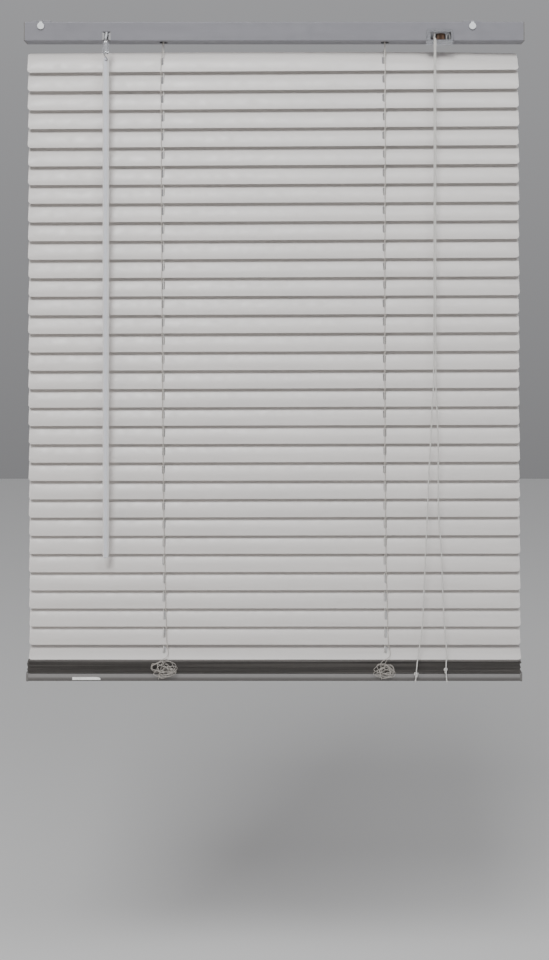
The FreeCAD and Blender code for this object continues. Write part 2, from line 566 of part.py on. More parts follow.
def tube(route, radius):
    """Round tube of straight runs joined by tangent arcs, each as large as its two runs allow."""
    points = [Vector(*point) for point in route]
    edges = []
    last = points[0]
    for before, corner, after in zip(points, points[1:], points[2:]):
        incoming = (corner - before).normalize()
        outgoing = (after - corner).normalize()
        turn = incoming.getAngle(outgoing)
        trim = ARC_SHARE * min(corner.distanceToPoint(before), corner.distanceToPoint(after))
        arc_radius = trim / math.tan(turn / 2)
        start = corner - incoming * trim
        end = corner + outgoing * trim
        inward = (outgoing - incoming).normalize()
        middle = corner + inward * (arc_radius / math.cos(turn / 2) - arc_radius)
        edges.append(Part.LineSegment(last, start).toShape())
        edges.append(Part.Arc(start, middle, end).toShape())
        last = end
    edges.append(Part.LineSegment(last, points[-1]).toShape())
    section = Part.Wire(Part.Circle(points[0], points[1] - points[0], radius).toShape())
    return Part.Wire(edges).makePipeShell([section], True, True)


def lift_cord(side):
    """Lift cord from inside the bottom rail, up through the slats, round the cradle's edge, along
    the headrail and forward to the pull cord that continues it."""
    sign = int(SIDES[side])
    x = DIMENSIONS["blind_x"] + sign * DIMENSIONS["ladder_offset"]
    pull_x = DIMENSIONS["blind_x"] + DIMENSIONS["pull_cord_x"] + sign * DIMENSIONS["pull_cord_gap"] / 2
    run_z = DIMENSIONS[f"{side}_cord_run_z"]
    end_y = DIMENSIONS["cord_end_y"]
    foot_z = DIMENSIONS["rail_top_edge"] - DIMENSIONS["cord_foot"]
    turn = DIMENSIONS["cord_turn"]
    corners = [Vector(x, 0, foot_z), Vector(x, 0, run_z), Vector(pull_x, 0, run_z),
               Vector(pull_x, end_y, run_z)]
    edges = []
    last = corners[0]
    for before, corner, after in zip(corners, corners[1:], corners[2:]):
        start = corner + (before - corner).normalize() * turn
        end = corner + (after - corner).normalize() * turn
        centre = start + end - corner
        middle = centre + (corner - centre).normalize() * turn
        edges.append(Part.LineSegment(last, start).toShape())
        edges.append(Part.Arc(start, middle, end).toShape())
        last = end
    edges.append(Part.LineSegment(last, corners[-1]).toShape())
    section = Part.Wire(Part.Circle(corners[0], Vector(0, 0, 1), DIMENSIONS["lift_cord_radius"]).toShape())
    return shape_feature(f"lift_cord_{side}", Part.Wire(edges).makePipeShell([section], True, True))


# the routes of the two pull cords, from the cord lock to their ends, and each knot's centre, radius
# and half height
PULL_CORD_ROUTES = {
    "left": [(205.4, -9.8, -19.1), (205.4, -13.7, -19.1), (205.4, -16.6, -22.0), (205.4, -17.3, -27.8),
             (205.3, -17.4, -38.0), (205.1, -17.4, -421.0), (202.6, -17.5, -445.0), (201.6, -17.3, -480.0),
             (198.6, -17.5, -528.0), (197.3, -17.3, -572.0), (195.1, -17.6, -618.0), (193.4, -17.3, -660.0),
             (191.6, -17.5, -703.0), (186.6, -17.4, -734.0), (184.6, -17.6, -752.0), (183.5, -17.5, -765.2)],
    "right": [(207.0, -9.8, -20.6), (207.0, -13.7, -20.6), (207.0, -16.6, -23.5), (207.0, -17.3, -29.0),
              (206.9, -17.4, -38.0), (206.7, -17.4, -421.0), (208.2, -17.3, -447.0), (209.8, -17.5, -484.0),
              (209.9, -17.3, -530.0), (209.8, -17.5, -573.0), (213.8, -17.3, -612.0), (214.7, -17.5, -658.0),
              (217.2, -17.3, -702.0), (219.9, -17.5, -732.0), (218.4, -17.4, -751.0), (219.8, -17.5, -765.4)],
}
KNOTS = {"left": ((184.3, -17.6, -756.4), 2.6, 3.6), "right": ((218.5, -17.4, -751.6), 2.3, 4.0)}


def pull_cord(side):
    """One hanging pull cord with the knot near its end."""
    cord = tube(PULL_CORD_ROUTES[side], DIMENSIONS["lift_cord_radius"])
    centre, knot_radius, half_height = KNOTS[side]
    knot = Part.makeSphere(knot_radius)
    stretch = FreeCAD.Matrix()
    stretch.scale(1, 1, half_height / knot_radius)
    knot = knot.transformGeometry(stretch)
    knot.translate(Vector(*centre))
    return shape_feature(f"pull_cord_body_{side}", cord.fuse(knot))


def ladder_bunch(side, offset, half_width):
    """Outer form of the loops of slack ladder string in front of the bottom rail."""
    form = doc.addObject("Part::Ellipsoid", f"bunch_form_{side}")
    form.setExpression("Radius1", "dims.bunch_half_height")
    form.setExpression("Radius2", half_width)
    form.setExpression("Radius3", "dims.bunch_half_depth")
    return place(form, f"dims.blind_x + {offset}", "dims.bunch_y", "dims.bunch_z")


node(ladder("ladder_front", -1), "ladder_front")
node(ladder("ladder_rear", 1), "ladder_rear")
node(group("lift_cord_pair", *(lift_cord(side) for side in SIDES)), "lift_cords")
for side in SIDES:
    node(pull_cord(side), f"pull_cord_{side}")
node(ladder_bunch("left", "-125.6", "17.6"), "ladder_bunch_left")
node(ladder_bunch("right", "129.4", "15.6"), "ladder_bunch_right")


# ---------------------------------------------------------------- bottom rail
RAIL_LOW = "(dims.rail_top_edge - dims.rail_height)"


def bottom_rail():
    """Hollow rail with an arched top that the stacked slats rest on, and holes for cords and plugs."""
    crest = "(dims.rail_top_edge + dims.slat_crown)"
    wall = "dims.sheet_wall"
    outer = crowned_bar("rail_outer", "dims.rail_length", "dims.slat_width",
                        "dims.rail_height + dims.slat_crown", crest, ARCH)
    inner = crowned_bar("rail_inner", f"dims.rail_length + {OVERSIZE}", f"dims.slat_width - 2 * {wall}",
                        f"dims.rail_height + dims.slat_crown - 2 * {wall}", f"{crest} - {wall}", ARCH)
    top_edge = DIMENSIONS["rail_top_edge"]
    rounded = round_edges("rail_rounded", outer, "rail_corner",
                          lambda edge: runs_along(edge, X_AXIS) and edge.CenterOfMass.z < top_edge - 1)
    cord_holes = [cylinder(f"rail_cord_hole_{side}", "dims.rail_cord_hole_radius", "dims.rail_height",
                           (x, "0", "dims.rail_top_edge + 1")) for side, x in LEFT_AND_RIGHT.items()]
    plug_holes = [cylinder(f"rail_plug_hole_{side}", "dims.plug_stem_radius + dims.running_gap",
                           f"2 * {OVERSIZE}", (x, "0", RAIL_LOW)) for side, x in LEFT_AND_RIGHT.items()]
    return cut("bottom_rail_body", rounded, inner, *cord_holes, *plug_holes)


def rail_cap(side, sign):
    """Plastic end cap of the bottom rail, a little larger than the rail all round."""
    x = f"dims.blind_x + {sign} * (dims.rail_length / 2 + dims.rail_cap_plate / 2 + dims.joint_gap)"
    reach = "(dims.slat_width / 2 + dims.rail_cap_margin)"
    plate = span_box(f"rail_cap_plate_{side}", "dims.rail_cap_plate", f"-{reach}", reach,
                     f"{RAIL_LOW} - dims.rail_cap_margin",
                     "dims.rail_top_edge + dims.slat_crown - dims.rail_cap_margin", x)
    return round_edges(f"rail_cap_{side}", plate, "rail_corner", lambda edge: runs_along(edge, X_AXIS))


def rail_plug(side, x):
    """Button under the bottom rail that holds the ends of the lift cord and the ladder."""
    head = cylinder(f"plug_head_{side}", "dims.plug_head_radius", "dims.plug_head_height",
                    (x, "0", f"{RAIL_LOW} - dims.plug_head_height / 2 - dims.seat_gap"))
    stem = cylinder(f"plug_stem_{side}", "dims.plug_stem_radius", "dims.plug_stem_height",
                    (x, "0", f"{RAIL_LOW} + dims.plug_stem_height / 2 - dims.plug_stem_overlap"))
    return fuse(f"rail_plug_{side}", head, stem)


node(bottom_rail(), "bottom_rail")
node(group("bottom_rail_end_caps", *(rail_cap(*side) for side in SIDES.items())), "bottom_rail_end_caps")
node(group("bottom_rail_plugs", *(rail_plug(*side) for side in LEFT_AND_RIGHT.items())), "bottom_rail_plugs")


# ---------------------------------------------------------------- check and write
doc.recompute()
for obj in doc.Objects:
    if "Invalid" in obj.State or "Error" in obj.State:
        raise RuntimeError(f"{obj.Name} failed: {obj.State}")
os.makedirs("parts", exist_ok=True)
for sub_part in nodes:
    shape = sub_part.Shape
    if shape.isNull() or not shape.isValid() or not shape.Solids:
        raise RuntimeError(f"{sub_part.Label} has no valid solid")
    shape.exportStep(f"parts/{sub_part.Label}.step")
print(f"{len(nodes)} sub-parts written")
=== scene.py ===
import json
import math
import random

import bpy
from mathutils import Matrix, Vector, noise
from mathutils.geometry import delaunay_2d_cdt


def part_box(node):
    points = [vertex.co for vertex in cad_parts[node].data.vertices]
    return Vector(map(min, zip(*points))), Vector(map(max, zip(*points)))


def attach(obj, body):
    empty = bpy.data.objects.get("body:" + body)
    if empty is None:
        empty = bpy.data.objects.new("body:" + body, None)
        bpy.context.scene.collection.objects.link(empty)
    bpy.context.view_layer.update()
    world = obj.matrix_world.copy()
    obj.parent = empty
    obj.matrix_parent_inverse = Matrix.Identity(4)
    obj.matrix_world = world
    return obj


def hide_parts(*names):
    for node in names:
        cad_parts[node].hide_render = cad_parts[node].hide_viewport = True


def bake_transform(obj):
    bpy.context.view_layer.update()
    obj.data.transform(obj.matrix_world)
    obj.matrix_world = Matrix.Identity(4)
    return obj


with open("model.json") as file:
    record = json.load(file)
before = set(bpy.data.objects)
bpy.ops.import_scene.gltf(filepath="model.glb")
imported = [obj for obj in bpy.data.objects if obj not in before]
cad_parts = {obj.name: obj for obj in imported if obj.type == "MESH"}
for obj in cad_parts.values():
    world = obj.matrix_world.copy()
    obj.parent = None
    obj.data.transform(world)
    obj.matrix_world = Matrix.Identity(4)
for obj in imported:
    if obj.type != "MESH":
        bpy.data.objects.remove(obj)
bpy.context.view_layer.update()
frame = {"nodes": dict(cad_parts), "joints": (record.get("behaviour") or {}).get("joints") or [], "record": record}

MM = 0.001
JOINTS = {joint["name"]: joint for joint in frame["joints"]}
ROD = Vector(JOINTS["tilt"]["pos_m"])
BLIND_X = ROD.x
HEADRAIL_LOW, HEADRAIL_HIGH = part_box("headrail")
RAIL_LOW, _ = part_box("bottom_rail")
LADDER_OFFSET = 129 * MM
LADDER_X = {"left": BLIND_X - LADDER_OFFSET, "right": BLIND_X + LADDER_OFFSET}

# a slat and the stack, as the frame has them
SLAT_LENGTH, SLAT_WIDTH, SLAT_WALL, SLAT_CROWN = 572 * MM, 25 * MM, 0.25 * MM, 1.8 * MM
SLAT_CORNER, SLOT_LENGTH, SLOT_WIDTH = 3.5 * MM, 10 * MM, 3.5 * MM
CLOSED_ANGLE, RESTING_ANGLE = math.radians(70), math.radians(40)
HANGING_SLATS, STACKED_SLATS, STACK_STEP = 33, 12, 1.19 * MM
# what only this script has: the top slat's twist, and the strings' own thickness and reach
TOP_SLAT_TWIST = math.radians(14)
CORD_RADIUS, STRING_RADIUS, SLACK_RADIUS, RUNG_RADIUS = 0.7 * MM, 0.36 * MM, 0.27 * MM, 0.25 * MM
RUNG_REACH, RUNG_DROP = 14.6 * MM, 1.05 * MM


# ---------------------------------------------------------------- camera
def add_camera():
    """Level camera, square to the blind and opposite a point a little above its middle."""
    distance, sideways, below_headrail_top = 1.75, 7.9 * MM, 331.6 * MM
    camera = bpy.data.objects.new("camera", bpy.data.cameras.new("camera"))
    bpy.context.scene.collection.objects.link(camera)
    camera.location = (BLIND_X + sideways, -distance, HEADRAIL_HIGH.z - below_headrail_top)
    camera.rotation_euler = (math.pi / 2, 0, 0)
    camera.data.sensor_width = 36
    camera.data.lens = 56.25
    camera.data.shift_x = -0.00677
    camera.data.shift_y = -0.17917
    bpy.context.scene.camera = camera


add_camera()


# ---------------------------------------------------------------- mesh helpers
def add_mesh(name, vertices, faces, material, sharp_angle=40):
    """A mesh object with smooth faces that stay sharp at edges over the given angle."""
    mesh = bpy.data.meshes.new(name)
    mesh.from_pydata([tuple(vertex) for vertex in vertices], [], faces)
    mesh.validate()
    mesh.update()
    for polygon in mesh.polygons:
        polygon.use_smooth = True
    mesh.set_sharp_from_angle(angle=math.radians(sharp_angle))
    mesh.materials.append(material)
    piece = bpy.data.objects.new(name, mesh)
    bpy.context.scene.collection.objects.link(piece)
    return piece


def smooth_line(points, per_span=6):
    """Points along the NURBS curve that has the given control points."""
    data = bpy.data.curves.new("route", "CURVE")
    data.dimensions = "3D"
    spline = data.splines.new("NURBS")
    spline.points.add(len(points) - 1)
    for control, point in zip(spline.points, points):
        control.co = (*point, 1)
    spline.order_u = 3
    spline.use_endpoint_u = True
    spline.resolution_u = per_span
    route = bpy.data.objects.new("route", data)
    bpy.context.scene.collection.objects.link(route)
    bpy.context.view_layer.update()
    settled = route.evaluated_get(bpy.context.evaluated_depsgraph_get())
    mesh = bpy.data.meshes.new_from_object(settled)
    line = [vertex.co.copy() for vertex in mesh.vertices]
    bpy.data.objects.remove(route)
    bpy.data.meshes.remove(mesh)
    return line


def ring_faces(rings, sides, closed=False):
    """Faces of a tube through rings of points, capped at both ends unless it closes on itself."""
    faces = []
    for ring in range(rings if closed else rings - 1):
        low, high = ring * sides, (ring + 1) % rings * sides
        for side in range(sides):
            step = (side + 1) % sides
            faces.append((low + side, low + step, high + step, high + side))
    if not closed:
        faces.append(tuple(reversed(range(sides))))
        faces.append(tuple(range((rings - 1) * sides, rings * sides)))
    return faces


def sweep(line, radius, sides=8, closed=False):
    """Vertices and faces of a round tube along a line; its frame turns as little as it can."""
    count = len(line)
    vertices = []
    normal = None
    for index, point in enumerate(line):
        before = line[index - 1] if index or closed else point
        after = line[(index + 1) % count] if index < count - 1 or closed else point
        along = (after - before).normalized()
        if normal is None:
            normal = along.orthogonal().normalized()
        normal = (normal - along * normal.dot(along)).normalized()
        across = along.cross(normal)
        for side in range(sides):
            angle = 2 * math.pi * side / sides
            vertices.append(point + (normal * math.cos(angle) + across * math.sin(angle)) * radius)
    return vertices, ring_faces(count, sides, closed)


def joined(*parts):
    """One list of vertices and one of faces from several."""
    vertices, faces = [], []
    for part_vertices, part_faces in parts:
        start = len(vertices)
        vertices += part_vertices
        faces += [tuple(start + index for index in face) for face in part_faces]
    return vertices, faces


def moved(part, matrix):
    vertices, faces = part
    return [matrix @ vertex for vertex in vertices], faces


def turned_shape(profile, segments):
    """Solid of revolution about Z from (radius, z) pairs, listed upwards, closed at both ends."""
    vertices = []
    for radius, z in profile:
        for index in range(segments):
            angle = 2 * math.pi * index / segments
            vertices.append(Vector((radius * math.cos(angle), radius * math.sin(angle), z)))
    return vertices, ring_faces(len(profile), segments)


def bead(centre, radius, half_height):
    """Small rounded knot."""
    rings, segments, tip_share = 6, 10, 0.12
    profile = []
    for step in range(rings + 1):
        angle = math.pi * step / rings
        profile.append((radius * max(math.sin(angle), tip_share), -half_height * math.cos(angle)))
    return moved(turned_shape(profile, segments), Matrix.Translation(centre))


# ---------------------------------------------------------------- materials
NOISE_LOW, NOISE_HIGH = 0.3, 0.7
PLASTIC_IOR = 1.49


def new_material(name, **settings):
    """A principled material with values set on its own sockets, and its node tree to add to."""
    material = bpy.data.materials.new(name)
    material.use_nodes = True
    tree = material.node_tree
    shader = tree.nodes["Principled BSDF"]
    for socket, value in settings.items():
        shader.inputs[socket.replace("_", " ")].default_value = value
    return material, tree, shader


def add_noise(tree, scale, detail=3, stretch=(1, 1, 1)):
    """Noise over the object's own coordinates in metres, stretched along the axes."""
    place = tree.nodes.new("ShaderNodeTexCoord")
    mapping = tree.nodes.new("ShaderNodeMapping")
    mapping.inputs["Scale"].default_value = stretch
    texture = tree.nodes.new("ShaderNodeTexNoise")
    texture.inputs["Scale"].default_value = scale
    texture.inputs["Detail"].default_value = detail
    tree.links.new(place.outputs["Object"], mapping.inputs["Vector"])
    tree.links.new(mapping.outputs["Vector"], texture.inputs["Vector"])
    return texture.outputs["Fac"]


def add_coordinate(tree, space, axis):
    """One coordinate of the surface point, or of its normal, in the given space."""
    place = tree.nodes.new("ShaderNodeTexCoord")
    split = tree.nodes.new("ShaderNodeSeparateXYZ")
    tree.links.new(place.outputs[space], split.inputs["Vector"])
    return split.outputs[axis]


def add_ramp(tree, factor, stops):
    """Colour from a factor by (position, colour) stops."""
    ramp = tree.nodes.new("ShaderNodeValToRGB")
    elements = ramp.color_ramp.elements
    for element, (position, colour) in zip((elements[0], elements[-1]), (stops[0], stops[-1])):
        element.position, element.color = position, colour
    for position, colour in stops[1:-1]:
        elements.new(position).color = colour
    tree.links.new(factor, ramp.inputs["Fac"])
    return ramp.outputs["Color"]


def add_range(tree, factor, low, high):
    """The span that noise mostly covers, spread from low to high."""
    spread = tree.nodes.new("ShaderNodeMapRange")
    spread.inputs["From Min"].default_value = NOISE_LOW
    spread.inputs["From Max"].default_value = NOISE_HIGH
    spread.inputs["To Min"].default_value = low
    spread.inputs["To Max"].default_value = high
    tree.links.new(factor, spread.inputs["Value"])
    return spread.outputs["Result"]


def add_bump(tree, shader, height, strength, distance):
    bump = tree.nodes.new("ShaderNodeBump")
    bump.inputs["Strength"].default_value = strength
    bump.inputs["Distance"].default_value = distance
    tree.links.new(height, bump.inputs["Height"])
    tree.links.new(bump.outputs["Normal"], shader.inputs["Normal"])


def shade(colour, factor):
    return (*(channel * factor for channel in colour), 1)


def add_mottle(tree, shader, factor, colour, darkest, lightest):
    """Base colour that wanders between two shades of one colour."""
    stops = [(NOISE_LOW, shade(colour, darkest)), (NOISE_HIGH, shade(colour, lightest))]
    tree.links.new(add_ramp(tree, factor, stops), shader.inputs["Base Color"])


def add_gloss(tree, shader, factor, low, high):
    tree.links.new(add_range(tree, factor, low, high), shader.inputs["Roughness"])


def add_orange_peel(tree, shader):
    """The fine skin that stove enamel has."""
    add_bump(tree, shader, add_noise(tree, 1400, 2), 0.25, 0.03 * MM)


def enamel(name, colour, roughness, variation=0.04, streak=(0.6, 8, 8)):
    """Stove enamel on metal: faint streaks and dust, fine orange peel, uneven gloss."""
    material, tree, shader = new_material(name, IOR=1.5)
    add_mottle(tree, shader, add_noise(tree, 14, 4, streak), colour, 1 - variation, 1 + variation)
    add_gloss(tree, shader, add_noise(tree, 90, 2), roughness - 0.06, roughness + 0.08)
    add_orange_peel(tree, shader)
    return material


def moulded(name, colour, roughness, grain=900):
    """Moulded plastic with a fine grain and slightly uneven colour."""
    material, tree, shader = new_material(name, IOR=PLASTIC_IOR)
    add_mottle(tree, shader, add_noise(tree, 160), colour, 0.92, 1.06)
    add_gloss(tree, shader, add_noise(tree, 300), roughness - 0.05, roughness + 0.1)
    add_bump(tree, shader, add_noise(tree, grain), 0.3, 0.05 * MM)
    return material


def clear(name, tint, roughness, transmission):
    """Clear plastic with fine upright scratches."""
    material, tree, shader = new_material(name, Transmission_Weight=transmission, IOR=PLASTIC_IOR)
    add_mottle(tree, shader, add_noise(tree, 60), tint, 0.97, 1.0)
    add_gloss(tree, shader, add_noise(tree, 500, 2, (6, 6, 0.3)), roughness, roughness + 0.08)
    add_bump(tree, shader, add_noise(tree, 700, 2, (4, 4, 0.2)), 0.2, 0.04 * MM)
    return material


def metal(name, colour, roughness, stretch=(1, 1, 1), scale=400):
    """Bare or plated metal with drawn or worn marks."""
    material, tree, shader = new_material(name, Metallic=1.0)
    marks = add_noise(tree, scale, 4, stretch)
    add_mottle(tree, shader, marks, colour, 0.7, 1.1)
    add_gloss(tree, shader, marks, roughness, roughness + 0.2)
    add_bump(tree, shader, marks, 0.3, 0.05 * MM)
    return material


def faceted_clear(name, front, side, roughness):
    """Clear plastic bar whose side faces get a lighter base colour than its front face: a painted highlight where
    the side faces catch the light.
    """
    material, tree, shader = new_material(name, Transmission_Weight=0.12, IOR=PLASTIC_IOR)
    sideways = tree.nodes.new("ShaderNodeMath")
    sideways.operation = "ABSOLUTE"
    tree.links.new(add_coordinate(tree, "Normal", "X"), sideways.inputs[0])
    # painted highlight: lighter base colour on the faces that turn sideways
    painted_facet_highlight = add_ramp(tree, sideways.outputs["Value"], [(0.3, (*front, 1)), (0.75, (*side, 1))])
    tree.links.new(painted_facet_highlight, shader.inputs["Base Color"])
    add_gloss(tree, shader, add_noise(tree, 500, 2, (6, 6, 0.3)), roughness, roughness + 0.1)
    add_bump(tree, shader, add_noise(tree, 700, 2, (4, 4, 0.2)), 0.25, 0.05 * MM)
    return material


def braid(name, colour, pitch):
    """Braided polyester: diagonal strands of the given pitch, with a soft sheen."""
    wave_scale_for_1m = 0.32
    material, tree, shader = new_material(name, Roughness=0.75, Sheen_Weight=0.25, Sheen_Roughness=0.5)
    place = tree.nodes.new("ShaderNodeTexCoord")
    strands = tree.nodes.new("ShaderNodeTexWave")
    strands.wave_type = "BANDS"
    strands.bands_direction = "DIAGONAL"
    strands.inputs["Scale"].default_value = wave_scale_for_1m / pitch
    strands.inputs["Distortion"].default_value = 1.5
    tree.links.new(place.outputs["Object"], strands.inputs["Vector"])
    stops = [(0.1, shade(colour, 0.72)), (0.6, shade(colour, 1.0))]
    tree.links.new(add_ramp(tree, strands.outputs["Fac"], stops), shader.inputs["Base Color"])
    add_bump(tree, shader, strands.outputs["Fac"], 0.8, 0.1 * MM)
    return material


def bracket_enamel():
    """White enamel on the lug that shows; the parts above the headrail in a dark grey that is painted shade."""
    white, painted_shade_grey, enamel_top = (0.82, 0.85, 0.86, 1), (0.3, 0.3, 0.32, 1), -1.6 * MM
    material, tree, shader = new_material("bracket_enamel", Roughness=0.32)
    above = tree.nodes.new("ShaderNodeMath")
    above.operation = "GREATER_THAN"
    above.inputs[1].default_value = enamel_top
    tree.links.new(add_coordinate(tree, "Object", "Z"), above.inputs[0])
    # painted shade: dark grey above the white, white below it
    tones = add_ramp(tree, above.outputs["Value"], [(0.4, white), (0.6, painted_shade_grey)])
    tree.links.new(tones, shader.inputs["Base Color"])
    add_bump(tree, shader, add_noise(tree, 1200, 2), 0.25, 0.04 * MM)
    return material


def rail_enamel():
    """Grey enamel of the bottom rail, with painted shade that darkens it towards its lower edge."""
    # the lower tone is painted shade, fading out over fade_height above the rail's foot
    lower, upper, fade_height = (0.105, 0.1, 0.096, 1), (0.235, 0.228, 0.224, 1), 8.5 * MM
    material, tree, shader = new_material("rail_enamel", Roughness=0.4)
    height = tree.nodes.new("ShaderNodeMapRange")
    height.inputs["From Min"].default_value = RAIL_LOW.z
    height.inputs["From Max"].default_value = RAIL_LOW.z + fade_height
    tree.links.new(add_coordinate(tree, "Object", "Z"), height.inputs["Value"])
    tones = add_ramp(tree, height.outputs["Result"], [(0.35, lower), (0.65, upper)])
    tree.links.new(tones, shader.inputs["Base Color"])
    add_orange_peel(tree, shader)
    return material


# one for each material slot of the frame's record
MATERIALS = {
    "slat_paint": enamel("slat_enamel", (0.68, 0.655, 0.635), 0.36),
    "headrail_paint": enamel("headrail_enamel", (0.215, 0.213, 0.235), 0.36),
    "rail_paint": rail_enamel(),
    "bracket_paint": bracket_enamel(),
    "end_cap_plastic": moulded("end_cap_plastic", (0.16, 0.155, 0.15), 0.4),
    "clear_plastic": clear("clear_plastic", (0.86, 0.87, 0.9), 0.08, transmission=0.85),
    "wand_acrylic": faceted_clear("wand_acrylic", (0.72, 0.735, 0.79), (1.0, 1.0, 1.0), 0.12),
    "mechanism_plastic": moulded("mechanism_plastic", (0.16, 0.16, 0.17), 0.45),
    "worm_plastic": moulded("worm_plastic", (0.62, 0.63, 0.65), 0.4),
    "plug_plastic": moulded("plug_plastic", (0.5, 0.49, 0.47), 0.45),
    "rod_steel": metal("rod_steel", (0.55, 0.55, 0.56), 0.3, stretch=(0.1, 1, 1)),
    "hook_wire": metal("hook_wire", (0.22, 0.22, 0.23), 0.25),
    "roller_brass": metal("roller_brass", (0.17, 0.11, 0.08), 0.35, stretch=(1, 1, 0.2), scale=900),
    "cord": braid("cord_braid", (0.7, 0.69, 0.66), 0.9 * MM),
    "ladder_string": braid("ladder_braid", (0.5, 0.47, 0.43), 0.6 * MM),
}
# painted shade: the stacked slats get a dark base colour that stands in for the shade between the nested slats
STACK_PAINTED_SHADE = enamel("slat_enamel_painted_shade", (0.12, 0.112, 0.105), 0.5, variation=0.4, streak=(0.3, 8, 22))
TILTER_PLASTIC = moulded("tilter_plastic", (0.36, 0.36, 0.37), 0.45, grain=500)
for entry in frame["record"]["subparts"]:
    node = frame["nodes"][entry["node"]]
    node.data.materials.clear()
    node.data.materials.append(MATERIALS[entry["material_slot"]])
frame["nodes"]["tilter_housing"].data.materials[0] = TILTER_PLASTIC
softened = frame["nodes"]["lock_bezel"].modifiers.new("softened_edges", "BEVEL")
softened.width, softened.segments = 0.35 * MM, 2


# ---------------------------------------------------------------- cords: pull cords
def point_list(points):
    """Vectors in metres from points in mm."""
    return [Vector(point) * MM for point in points]


# in mm, from inside the lock down to the tail below the knot
PULL_CORD_ROUTES = {
    "left": [(205.4, -9.8, -19.1), (205.4, -13.7, -19.1), (205.4, -16.6, -22.0), (205.4, -17.3, -27.8),
             (205.3, -17.4, -38.0), (205.1, -17.4, -421.0), (202.6, -17.5, -445.0), (201.6, -17.3, -480.0),
             (198.6, -17.5, -528.0), (197.3, -17.3, -572.0), (195.1, -17.6, -618.0), (193.4, -17.3, -660.0),
             (191.6, -17.5, -703.0), (186.6, -17.4, -734.0), (184.6, -17.6, -752.0), (183.5, -17.5, -765.2)],
    "right": [(207.0, -9.8, -20.6), (207.0, -13.7, -20.6), (207.0, -16.6, -23.5), (207.0, -17.3, -29.0),
              (206.9, -17.4, -38.0), (206.7, -17.4, -421.0), (208.2, -17.3, -447.0), (209.8, -17.5, -484.0),
              (209.9, -17.3, -530.0), (209.8, -17.5, -573.0), (213.8, -17.3, -612.0), (214.7, -17.5, -658.0),
              (217.2, -17.3, -702.0), (219.9, -17.5, -732.0), (218.4, -17.4, -751.0), (219.8, -17.5, -765.4)],
}
# in mm, just above each cord's tail, and how wide and tall each knot is tied
KNOT_PLACES = {"left": (184.5, -17.6, -756.4), "right": (218.5, -17.4, -751.6)}
KNOT_SIZES = {"left": (1.5 * MM, 1.75 * MM), "right": (1.15 * MM, 2.1 * MM)}


def overhand_knot(side):
    """A pulled-tight overhand knot: one strand along a flattened trefoil."""
    width, height = KNOT_SIZES[side]
    steps, lobe, size, depth, strand_radius = 36, 1.6, 0.62, 0.5625, 0.62 * MM
    line = []
    for step in range(steps):
        angle = 2 * math.pi * step / steps
        wide = math.sin(angle) + lobe * math.sin(2 * angle)
        deep = math.sin(3 * angle)
        tall = math.cos(angle) - lobe * math.cos(2 * angle)
        line.append(Vector((wide * width * size, deep * width * depth, tall * height * size)))
    place = Matrix.Translation(Vector(KNOT_PLACES[side]) * MM)
    knot = moved(sweep(line, strand_radius, 8, closed=True), place)
    return add_mesh(f"pull_cord_knot_{side}", *knot, MATERIALS["cord"])


def add_pull_cord(side):
    """Hanging pull cord from the lock, which stays where it is, and its knot, which goes up and down with the
    cords.
    """
    controls = point_list(PULL_CORD_ROUTES[side])
    line = smooth_line(controls, per_span=16)
    cord = add_mesh(f"pull_cord_{side}_braid", *sweep(line, CORD_RADIUS, 10), MATERIALS["cord"])
    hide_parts(f"pull_cord_{side}")
    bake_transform(cord)
    knot = overhand_knot(side)
    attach(knot, "pull_cords")


for side in LADDER_X:
    add_pull_cord(side)


# ---------------------------------------------------------------- cords: slack ladder string
# the loops' size, offset and lean, as shares of half the bunch, and where their kinks come
LOOP_RANGES = {"wide": (0.38, 0.86), "tall": (0.24, 0.56), "shift": (-0.3, 0.3), "drop": (-0.42, 0.34),
               "lean": (-0.7, 0.7), "kink_phase": (0, 2 * math.pi)}


def bunch_controls(side, seed, turns):
    """Tangled loops of slack string in front of the bottom rail, each behind the last."""
    points_per_turn, start_angle, kink_size, kink_scatter = 13, 1.9, 0.2, 0.05
    margin, x_limit, z_limits = 1.0 * MM, 0.97, (-0.9, 0.88)
    low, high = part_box(f"ladder_bunch_{side}")
    centre, half = (low + high) / 2, (high - low) / 2
    draw = random.Random(seed)
    controls = [Vector((LADDER_X[side] + 1.0 * MM, low.y + 1.2 * MM, high.z - 0.4 * MM)),
                Vector((LADDER_X[side] - 1.0 * MM, low.y + 0.9 * MM, high.z - 2.5 * MM))]
    loops = [[draw.uniform(*span) for span in LOOP_RANGES.values()] for _ in range(turns + 1)]
    depth = 2 * (half.y - 1.2 * margin) / turns
    for step in range(turns * points_per_turn):
        turn = step / points_per_turn
        first, share = int(turn), turn % 1
        share = share * share * (3 - 2 * share)
        wide, tall, shift, drop, lean, phase = (before + (after - before) * share
                                                for before, after in zip(loops[first], loops[first + 1]))
        angle = 2 * math.pi * turn + start_angle
        kink = 1 + kink_size * math.sin(3 * angle + phase) + draw.uniform(-kink_scatter, kink_scatter)
        x, z = wide * kink * math.cos(angle) * half.x, tall * kink * math.sin(angle) * half.z
        x_place = shift * half.x + x
        z_place = drop * half.z + z + math.sin(lean) * x / 2
        x_place = max(-x_limit * half.x, min(x_limit * half.x, x_place))
        z_place = max(z_limits[0] * half.z, min(z_limits[1] * half.z, z_place))
        controls.append(centre + Vector((x_place, margin - half.y + depth * turn, z_place)))
    controls.append(Vector((LADDER_X[side] - 2 * MM, high.y - margin, RAIL_LOW.z + 3.5 * MM)))
    return controls


def add_bunch(side, seed, turns):
    line = smooth_line(bunch_controls(side, seed, turns), per_span=3)
    string = add_mesh(f"ladder_slack_{side}", *sweep(line, SLACK_RADIUS, 8), MATERIALS["ladder_string"])
    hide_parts(f"ladder_bunch_{side}")
    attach(string, "bottom_rail")


